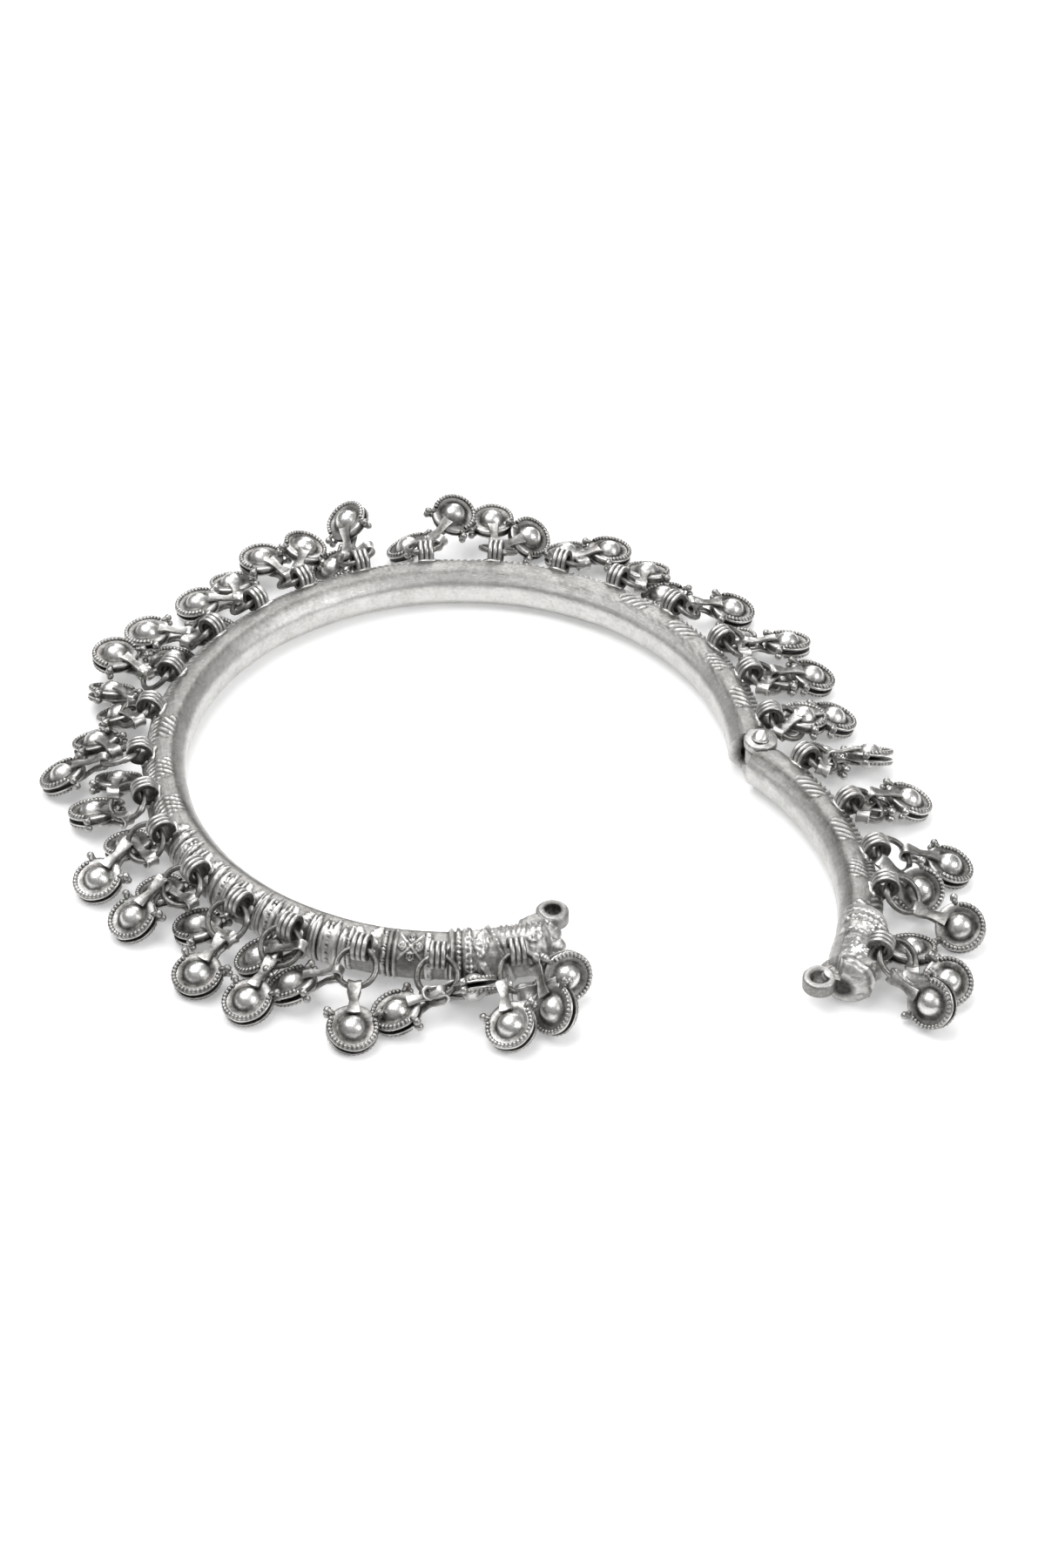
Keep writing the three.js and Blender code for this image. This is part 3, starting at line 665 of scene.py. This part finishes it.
def gate_body(depth):
    """The gate: tube, hinge knuckle, lower lug with its filled round recess, and the snout."""
    shell = Shell()
    points, wear, flow = tube_surface(GATE_ENDS, GATE_HEAD, GATE_CLUSTERS, GATE_ROWS, depth)
    from_pin = np.linalg.norm((points - PIN)[..., :2], axis=-1)
    from_lug = np.linalg.norm((points - LUG)[..., :2], axis=-1)
    near = from_pin < TONGUE_RADIUS + HINGE_GAP + GRID_ROOM
    points[..., 2] = np.where(near, np.clip(points[..., 2], *KNUCKLE), points[..., 2])
    under = from_lug < LUG_RADIUS + LUG_GAP + GRID_ROOM
    points[..., 2] = np.where(under, np.minimum(points[..., 2], LOWER_LUG[1]), points[..., 2])
    shell.grid(points, wear, flow)
    turned_form(shell, post_profile(KNUCKLE_RADIUS, *KNUCKLE), PIN, 36, 0.6)
    low, high = LOWER_LUG
    profile = post_profile(LUG_RADIUS, low, high, 0.3)
    recess = [(LUG_HOLE + 0.45, high), (LUG_HOLE + 0.1, high - 0.35), (LUG_HOLE - 0.3, high - 0.9), (0.3, high - 0.8)]
    turned_form(shell, profile + recess, LUG, 40, [0.4, 0.4, 0.45, 0.6, 0.5, 0.1, 0.1, 0.25])
    lug_neck(shell, -3.4, 1.2, 4.0, (3.3, 2.4, 1.7), 0.08)
    tip_lobes(shell, GATE_ENDS[1], -1, ((55.2, 6.2, 1.9), (55.9, 3.0, 2.0)))
    return shell


def rivet_form():
    """The rivet: a shaft, a spread foot and an oval domed head with a rim."""
    shell = Shell()
    profile = [(1.9, 0.15), (1.9, 0.6), (1.0, 0.65), (1.0, 8.7), (1.75, 8.72), (1.95, 8.9), (1.85, 9.1),
               (1.6, 9.12), (1.45, 9.4), (1.0, 9.68), (0.45, 9.82)]
    wear = [0.5, 0.5, 0.3, 0.3, 0.3, 0.8, 0.6, 0.3, 0.8, 0.9, 0.9]
    turned_form(shell, profile, PIN, 32, wear, 0.9)
    return shell


# Bails, jump rings and bells

def bail_axes(at):
    """Centre of a bail, and its three directions: out of the tube, across it and along it."""
    rise = math.radians(BAIL_RISE)
    out = outward(at) * math.cos(rise) + UP * math.sin(rise)
    along = np.cross(UP, outward(at))
    return outward(at) * HEART + UP * HALF + out * BAIL_DISTANCE, out, np.cross(out, along), along


def bail_form(shell, at):
    """Three round wires side by side, bent into one ring whose axis runs along the tube, on a puddle of solder."""
    centre, out, across, along = bail_axes(at)
    each = BAIL_WIDTH / 3
    offset = np.linspace(-BAIL_WIDTH / 2, BAIL_WIDTH / 2, 19)
    local = np.mod(offset + BAIL_WIDTH / 2, each) - each / 2
    local[-1] = each / 2
    crest = BAIL_RADIUS - BAIL_GROOVE + BAIL_GROOVE * np.sqrt(np.clip(1 - (2 * local / each) ** 2, 0, None))
    inner = np.linspace(BAIL_WIDTH / 2 - 0.15, -BAIL_WIDTH / 2 + 0.15, 4)
    radius = np.concatenate([crest, np.full(len(inner), BAIL_HOLE)])
    offset = np.concatenate([offset, inner])
    rubbed = np.concatenate([0.1 + 0.6 * (crest - BAIL_RADIUS + BAIL_GROOVE) / BAIL_GROOVE, np.full(len(inner), 0.2)])
    turn = full_turn(30)[:, None]
    points = laid_out(centre, (out, across, along), radius * np.cos(turn), radius * np.sin(turn), offset)
    shell.grid(points, rubbed, ring=True)
    axes = np.stack([along, across, out])
    for side in (-1, 1):
        place = centre - out * (BAIL_RADIUS - 0.35) + across * (side * 0.9) + along * RANDOM.uniform(-0.5, 0.5)
        ball(shell, place, (2.0, 1.3, 0.6), axes, 0.75, 0.14, 9, 14)


def jump_frame(row):
    """Centre of a jump ring and its two directions: one outward and down, one along the tube."""
    at, dip, skew, twist = row[:4]
    out = outward(at + skew)
    along = np.cross(UP, out)
    u = dipped(out, dip)
    return bail_axes(at)[0] + u * JUMP_OFFSET, u, turned(along, u, twist)


def jump_ring(shell, centre, u, w):
    """A wire bent round, a little thicker where its ends are wrapped over each other."""
    turn, around = full_turn(48)[:, None], full_turn(8)[None, :]
    join = math.radians(RANDOM.choice([150, 205, 120]))
    from_join = np.mod(turn - join + math.pi, 2 * math.pi) - math.pi
    wrap = hump(from_join, 0.3)
    wire = WIRE_RADIUS * (1 + wrap * (0.32 + 0.16 * np.cos(2 * around + 20 * from_join)))
    reach = JUMP_RADIUS + wire * np.cos(around)
    directions = u, w, np.cross(u, w)
    points = laid_out(centre, directions, reach * np.cos(turn), reach * np.sin(turn), wire * np.sin(around))
    shell.grid(points, 0.3 + 0.12 * np.cos(around) + 0.2 * wrap, ring=True)


def dish_profile():
    """Radius, height and wear from the dome's top, down into the moat, over the rim and back under the dish."""
    tilt = np.radians([14, 28, 42, 54, 64])
    dome = [(DOME_RADIUS * math.sin(a), DOME_RADIUS * math.cos(a), 0.95 - 0.45 * (k / 4) ** 3)
            for k, a in enumerate(tilt)]
    rest = [(2.42, 0.8, 0.16), (2.7, 0.74, 0.12), (3.05, 0.84, 0.3), (3.4, 0.93, 0.45), (3.9, 0.92, 0.5),
            (4.36, 0.78, 0.7), (4.45, 0.58, 0.75), (4.4, 0.42, 0.5), (4.1, 0.37, 0.15), (3.2, 0.37, 0.0),
            (2.4, 0.6, 0.0), (1.3, 1.35, 0.0), (0.4, 1.6, 0.0)]
    return dome + rest


def bell_form():
    """One bell about its own centre, strap towards -x: two dishes with a slot between them, beaded rims, balls at
    the slot's ends, and a flat strap looped at its far end."""
    shell = Shell()
    turn = full_turn(BELL_SIDES)
    radius, height, wear = np.array(dish_profile()).T[..., None]
    uneven = 1 + 0.012 * np.sin(3 * turn + 0.6) + 0.006 * np.sin(7 * turn)
    for side in (1, -1):
        points = revolved(radius, side * height, turn)
        points[..., :2] *= uneven[:, None]
        shell.grid(points, wear + 0.05 * np.sin(5 * turn + side))
        rim_form(shell, side)
        for end in (-1, 1):
            at = math.radians(end * BALL_ANGLE)
            centre = np.array([BALL_RING * math.cos(at), BALL_RING * math.sin(at), side * BALL_HEIGHT])
            ball(shell, centre, (BALL_RADIUS,) * 3, np.eye(3), 0.55, 0.0, 5, 8)
            out = np.array([math.cos(at), math.sin(at), 0])
            axes = np.stack([out, np.cross(UP, out), UP])
            ball(shell, out * STUB_RING + UP * side * 0.85, (0.85, 0.5, 0.42), axes, 0.35, 0.0, 4, 8)
    wall_form(shell)
    strap_form(shell)
    return shell


def rim_form(shell, side):
    """A beaded wire along the rim: an open ring whose thickness swells once for each bead and thins at its ends."""
    steps = BEADS * 4
    turn = np.radians(np.linspace(-RIM_SPREAD, RIM_SPREAD, steps))[:, None]
    around = full_turn(6)[None, :]
    bead = np.abs(np.sin(np.linspace(0, BEADS * math.pi, steps)))[:, None]
    wire = RIM_WIRE * (0.6 + 0.4 * bead)
    reach = RIM_RING + wire * np.cos(around)
    points = revolved(reach, side * RIM_HEIGHT + wire * np.sin(around), turn)
    shell.grid(points, 0.08 + 0.62 * bead * (0.7 + 0.3 * np.sin(around) * side))


def wall_form(shell):
    """The wall that closes the slot on the strap's side: a short curved bar between the two dishes."""
    turn = np.radians(np.linspace(180 - 56, 180 + 56, 14))[:, None]
    radius, height = np.array([(3.2, -0.5), (4.12, -0.5), (4.12, 0.5), (3.2, 0.5)]).T
    shell.grid(revolved(radius, height, turn), 0.3)


def strap_form(shell):
    """A flat band from the upper dome, round the jump ring's wire and back to the lower dome. It narrows at its
    waist and is hollowed a little across."""
    loop = np.radians(np.linspace(58, 302, 11))
    half = [(-2.5, 1.4, 1.2, 0.75), (-3.0, 1.38, 1.12, 0.6), (-3.9, 1.3, 0.95, 0.5), (-5.0, 0.98, 0.78, 0.35),
            (-6.0, 0.76, 0.8, 0.4), (-7.0, 0.88, 1.05, 0.55)]
    upper = np.array(half)
    lower = upper[::-1] * np.array([1, -1, 1, 1])
    turning = np.stack([-STRAP_REACH + 0.98 * np.cos(loop), 0.98 * np.sin(loop), np.full(11, 1.22),
                        0.5 + 0.2 * np.sin(loop / 2)], -1)
    line = np.concatenate([upper, turning, lower])
    ahead = np.gradient(line[:, :2], axis=0)
    ahead /= np.linalg.norm(ahead, axis=1)[:, None]
    face = np.stack([-ahead[:, 1], ahead[:, 0]], -1)
    across = np.array([-1, -0.9, 0, 0.9, 1, 0.9, 0, -0.9])
    thick = np.array([0, -0.24, -0.24, -0.24, 0, 0.24, 0.24, 0.24])
    sag = 0.34 * (across ** 2 - 0.5)
    points = np.stack([
        line[:, :1] + face[:, :1] * (thick - sag),
        line[:, 2:3] * across,
        line[:, 1:2] + face[:, 1:] * (thick - sag),
    ], -1)
    shell.grid(points, line[:, 3:] + 0.0 * across)


def bell_axes(at, swing, dip, roll):
    """Directions of a bell: away from the jump ring, and the normal of its flat."""
    out = outward(at + swing)
    along = dipped(out, dip)
    normal = turned(np.cross(along, np.cross(UP, out)), along, roll)
    return np.stack([along, np.cross(normal, along), normal])


def bell_depth(basis):
    """How far below its centre a bell reaches: its dome, its rims or its balls, whichever is lowest."""
    level = abs(basis[2, 2])
    edge = math.sqrt(max(0.0, 1 - level ** 2))
    turn = math.radians(BALL_ANGLE)
    balls = np.array([(BALL_RING * math.cos(turn), side * BALL_RING * math.sin(turn), level_side * BALL_HEIGHT)
                      for side in (-1, 1) for level_side in (-1, 1)])
    lowest_ball = BALL_RADIUS - (balls @ basis)[:, 2].min()
    return max([DOME_RADIUS, lowest_ball] + [radius * edge + height * level for radius, height in BELL_EDGES])


def bell_place(row, centre, u, w, bell):
    """Where a bell comes to lie: halving between two dips until it just clears the floor, or its lift above it."""
    station, swing, roll, lift = bell
    turn = math.radians(station)
    wire = centre + JUMP_RADIUS * (math.cos(turn) * u + math.sin(turn) * w)
    high, low = -60.0, 89.0
    while low - high > 0.01:
        dip = (high + low) / 2
        basis = bell_axes(row[0], swing, dip, roll)
        clear = wire[2] + STRAP_REACH * basis[0, 2] - bell_depth(basis) > FLOOR_CLEARANCE + lift
        high, low = (dip, low) if clear else (high, dip)
    basis = bell_axes(row[0], swing, high, roll)
    return basis, wire + STRAP_REACH * basis[0]


def cluster_form(row, bell_shell):
    """A jump ring and its bells."""
    shell = Shell()
    centre, u, w = jump_frame(row)
    jump_ring(shell, centre, u, w)
    for bell in row[4]:
        basis, place = bell_place(row, centre, u, w, bell)
        shell.placed(bell_shell, basis, place, RANDOM.uniform(-0.08, 0.1))
    return shell


# Materials

def with_sockets(tree, node, sockets):
    """A node with each of the given sockets set to a constant, or linked to another node's output."""
    for key, value in sockets.items():
        if isinstance(value, bpy.types.NodeSocket):
            tree.links.new(value, node.inputs[key])
        else:
            node.inputs[key].default_value = value
    return node


def silver_material(finish, name, rougher, scratches, mottle):
    """Old silver: bright where it is rubbed and dark in the hollows, cloudy with tarnish, finely scratched along the
    piece and pitted. The wear attribute, which also holds painted shade on the tube's front and in the lug's eye,
    says how rubbed a point is, and flow carries the scratches."""
    bright, dark, roughness = finish.bright, finish.dark, finish.roughness + rougher
    material = bpy.data.materials.new(name)
    material.use_nodes = True
    tree = material.node_tree

    def node(kind, sockets):
        return with_sockets(tree, tree.nodes.new("ShaderNode" + kind), sockets)

    def noise(vector, scale, detail):
        """A cloudy value whose largest features have a scale."""
        sockets = {"Vector": vector, "Scale": scale, "Detail": detail, "Roughness": 0.6}
        return node("TexNoise", sockets).outputs["Fac"]

    def sum_of(first, second, share):
        """The first value plus a share of how far the second is from a half."""
        shifted = node("Math", {0: first, 1: -share * 0.5})
        shifted.operation = "ADD"
        total = node("Math", {0: second, 1: share, 2: shifted.outputs[0]})
        total.operation = "MULTIPLY_ADD"
        return total.outputs[0]

    wear, flow = node("Attribute", {}), node("Attribute", {})
    wear.attribute_name, flow.attribute_name = "wear", "flow"
    place = node("TexCoord", {}).outputs["Object"]
    drawn_out = node("Mapping", {"Vector": flow.outputs["Vector"], "Scale": SCRATCH_STRETCH})
    clouds, specks, grain = (noise(place, *texture) for texture in (CLOUDS, SPECKS, GRAIN))
    lines = noise(drawn_out.outputs["Vector"], 1.0, 5)
    # This value also carries the painted shade on the tube's front and in the lug's eye
    rubbed = sum_of(sum_of(sum_of(wear.outputs["Fac"], clouds, mottle), specks, mottle), lines, scratches)
    colour = node("ValToRGB", {"Fac": rubbed})
    ramp = colour.color_ramp
    ramp.elements[0].position, ramp.elements[0].color = 0.0, (*(0.4 * value for value in dark), 1)
    ramp.elements[1].position, ramp.elements[1].color = 1.0, (*bright, 1)
    for position, share in COLOUR_STOPS:
        stop = ramp.elements.new(position)
        stop.color = (*(d + (b - d) * share for b, d in zip(bright, dark)), 1)
    gloss = node("MapRange", {"Value": rubbed, "To Min": roughness + 0.2, "To Max": roughness - 0.06})
    relief = sum_of(sum_of(specks, grain, 0.5), lines, 1.6 * scratches)
    bump = node("Bump", {"Strength": 0.5, "Distance": 0.00012, "Height": relief})
    with_sockets(tree, tree.nodes["Principled BSDF"], {
        "Metallic": 1.0,
        "Base Color": colour.outputs["Color"],
        "Roughness": gloss.outputs["Result"],
        "Normal": bump.outputs["Normal"],
    })
    return material


def carved_silver(finish):
    """The silver that the ring and the gate share."""
    return bpy.data.materials.get("carved_silver") or silver_material(finish, "carved_silver", 0.05, 0.5, 0.4)


def floor_material(colour):
    """A plain pale matt sheet that glows a little."""
    material = bpy.data.materials.new("pale_sheet")
    material.use_nodes = True
    with_sockets(material.node_tree, material.node_tree.nodes["Principled BSDF"], {
        "Base Color": (*colour, 1),
        "Roughness": 0.9,
        "Emission Color": (*colour, 1),
        "Emission Strength": 0.3,
        "Specular IOR Level": 0.1,
    })
    return material


# Settings, operators and panel

class PayalFinish(bpy.types.PropertyGroup):
    """Colours and carving that a user would change."""
    bright: bpy.props.FloatVectorProperty(
        name="Rubbed silver", description="Colour of the raised, rubbed silver", subtype="COLOR",
        size=3, min=0, max=1, default=(0.715, 0.707, 0.692))
    dark: bpy.props.FloatVectorProperty(
        name="Tarnish", description="Colour of the silver in the hollows", subtype="COLOR",
        size=3, min=0, max=1, default=(0.118, 0.112, 0.104))
    roughness: bpy.props.FloatProperty(
        name="Roughness", description="Roughness of the rubbed silver", subtype="FACTOR",
        min=0.05, max=1, default=0.34)
    relief: bpy.props.FloatProperty(
        name="Relief", description="Height of the cast carving", unit="LENGTH", subtype="DISTANCE",
        min=0, max=0.001, precision=5, default=0.00042)


class PayalStage(bpy.types.PropertyGroup):
    """Camera, lights and floor."""
    distance: bpy.props.FloatProperty(
        name="Camera distance", description="From the camera to the middle of the anklet", unit="LENGTH",
        subtype="DISTANCE", default=0.6)
    elevation: bpy.props.FloatProperty(
        name="Camera elevation", description="Angle of the camera above the floor", unit="ROTATION",
        subtype="ANGLE", default=math.radians(40.2))
    lens: bpy.props.FloatProperty(
        name="Lens", description="Focal length in millimetres", default=74.7)
    key_power: bpy.props.FloatProperty(
        name="Key light", description="Power of the large light", default=5.2)
    sky: bpy.props.FloatProperty(
        name="Room light", description="Strength of the even light of the room", default=0.6)
    floor: bpy.props.FloatVectorProperty(
        name="Floor", description="Colour of the floor", subtype="COLOR", size=3, min=0, max=1,
        default=(0.86, 0.86, 0.86))


class PAYAL_OT_ring(bpy.types.Operator):
    """Build the carved ring with its tongues, head and upper lug"""
    bl_idname = "payal.ring"
    bl_label = "Carved ring"

    def execute(self, context):
        finish = context.scene.payal_finish
        shell = ring_body(finish.relief * 1000)
        shell.finish("carved_ring", "ring", ["main_ring"], carved_silver(finish), "aged_silver")
        return {"FINISHED"}


class PAYAL_OT_gate(bpy.types.Operator):
    """Build the carved gate with its knuckle, head and lower lug"""
    bl_idname = "payal.gate"
    bl_label = "Carved gate"

    def execute(self, context):
        finish = context.scene.payal_finish
        shell = gate_body(finish.relief * 1000)
        shell.finish("carved_gate", "gate", ["gate"], carved_silver(finish), "aged_silver")
        return {"FINISHED"}


class PAYAL_OT_rivet(bpy.types.Operator):
    """Build the hinge's rivet"""
    bl_idname = "payal.rivet"
    bl_label = "Hinge rivet"

    def execute(self, context):
        material = silver_material(context.scene.payal_finish, "rubbed_silver", 0.0, 0.15, 0.5)
        rivet_form().finish("rivet", "ring", ["hinge_rivet"], material, "rubbed_silver")
        return {"FINISHED"}


class PAYAL_OT_bails(bpy.types.Operator):
    """Build the three-wire bails soldered on the ring and on the gate"""
    bl_idname = "payal.bails"
    bl_label = "Bails"

    def execute(self, context):
        material = silver_material(context.scene.payal_finish, "bail_silver", 0.0, 0.15, 0.5)
        for name, body, node, clusters in (("ring_bails", "ring", "main_ring", RING_CLUSTERS),
                                           ("gate_bails", "gate", "gate", GATE_CLUSTERS)):
            shell = Shell()
            for row in clusters:
                bail_form(shell, row[0])
            shell.finish(name, body, [node], material, "aged_silver")
        return {"FINISHED"}


class PAYAL_OT_bells(bpy.types.Operator):
    """Build every jump ring with its bells, each where it comes to lie"""
    bl_idname = "payal.bells"
    bl_label = "Jump rings and bells"

    def execute(self, context):
        material = silver_material(context.scene.payal_finish, "bell_silver", -0.02, 0.1, 0.7)
        bell_shell = bell_form()
        for index, row in enumerate(RING_CLUSTERS + GATE_CLUSTERS):
            body = "ring" if index < len(RING_CLUSTERS) else "gate"
            number = f"{index + 1:02d}"
            cluster_form(row, bell_shell).finish(
                "bells_" + number, body, ["bell_cluster_" + number], material, "bell_silver")
        return {"FINISHED"}


class PAYAL_OT_stage(bpy.types.Operator):
    """Set the floor, the lights and the camera"""
    bl_idname = "payal.stage"
    bl_label = "Stage"

    def execute(self, context):
        stage = context.scene.payal_stage
        target = (CENTRE + [*PICTURE_MIDDLE, 0]) / 1000
        mesh = bpy.data.meshes.new("floor")
        corners = [(x * FLOOR_HALF, y * FLOOR_HALF, 0) for x, y in ((-1, -1), (1, -1), (1, 1), (-1, 1))]
        mesh.from_pydata(corners, [], [(0, 1, 2, 3)])
        mesh.materials.append(floor_material(stage.floor))
        floor = bpy.data.objects.new("floor", mesh)
        context.scene.collection.objects.link(floor)
        for name, place, size, share in LIGHTS:
            lamp = bpy.data.lights.new(name, "AREA")
            lamp.size = size
            lamp.energy = stage.key_power * share
            light = bpy.data.objects.new(name, lamp)
            light.location = place
            light.rotation_euler = aimed(place, target)
            context.scene.collection.objects.link(light)
        world = bpy.data.worlds.new("room")
        world.use_nodes = True
        tree = world.node_tree
        kinds = "ShaderNodeTexCoord", "ShaderNodeSeparateXYZ", "ShaderNodeValToRGB"
        place, upright, sky = (tree.nodes.new(kind) for kind in kinds)
        with_sockets(tree, upright, {"Vector": place.outputs["Generated"]})
        with_sockets(tree, sky, {"Fac": upright.outputs["Z"]})
        with_sockets(tree, tree.nodes["Background"], {"Strength": stage.sky, "Color": sky.outputs["Color"]})
        sky.color_ramp.elements[0].color = (0.1, 0.1, 0.105, 1)
        sky.color_ramp.elements[1].position = 0.8
        sky.color_ramp.elements[1].color = (1.0, 1.0, 1.0, 1)
        context.scene.world = world
        camera = bpy.data.objects.new("camera", bpy.data.cameras.new("camera"))
        camera.data.lens = stage.lens
        camera.data.sensor_width = 36
        camera.location = target + stage.distance * np.array(
            [0, -math.cos(stage.elevation), math.sin(stage.elevation)])
        camera.rotation_euler = aimed(camera.location, target)
        context.scene.collection.objects.link(camera)
        context.scene.camera = camera
        context.scene.view_settings.view_transform = "Standard"
        return {"FINISHED"}


def aimed(place, target):
    """The turn that points a camera or a light at a target."""
    return (Vector(target) - Vector(place)).to_track_quat("-Z", "Y").to_euler()


class PAYAL_PT_panel(bpy.types.Panel):
    """Lists the anklet's pieces and settings"""
    bl_label = "Payal"
    bl_idname = "PAYAL_PT_panel"
    bl_space_type = "VIEW_3D"
    bl_region_type = "UI"
    bl_category = "Payal"

    def draw(self, context):
        for settings in (context.scene.payal_finish, context.scene.payal_stage):
            for name in settings.__annotations__:
                self.layout.prop(settings, name)
        for operator in STEPS:
            self.layout.operator(operator.bl_idname)


STEPS = (PAYAL_OT_ring, PAYAL_OT_gate, PAYAL_OT_rivet, PAYAL_OT_bails, PAYAL_OT_bells, PAYAL_OT_stage)
CLASSES = (PayalFinish, PayalStage, *STEPS, PAYAL_PT_panel)


def register():
    for each in CLASSES:
        bpy.utils.register_class(each)
    bpy.types.Scene.payal_finish = bpy.props.PointerProperty(type=PayalFinish)
    bpy.types.Scene.payal_stage = bpy.props.PointerProperty(type=PayalStage)


def unregister():
    del bpy.types.Scene.payal_stage
    del bpy.types.Scene.payal_finish
    for each in reversed(CLASSES):
        bpy.utils.unregister_class(each)


def main():
    """Registers the classes and builds every piece and the stage."""
    register()
    bpy.ops.payal.ring()
    bpy.ops.payal.gate()
    bpy.ops.payal.rivet()
    bpy.ops.payal.bails()
    bpy.ops.payal.bells()
    bpy.ops.payal.stage()


if __name__ == "__main__":
    main()
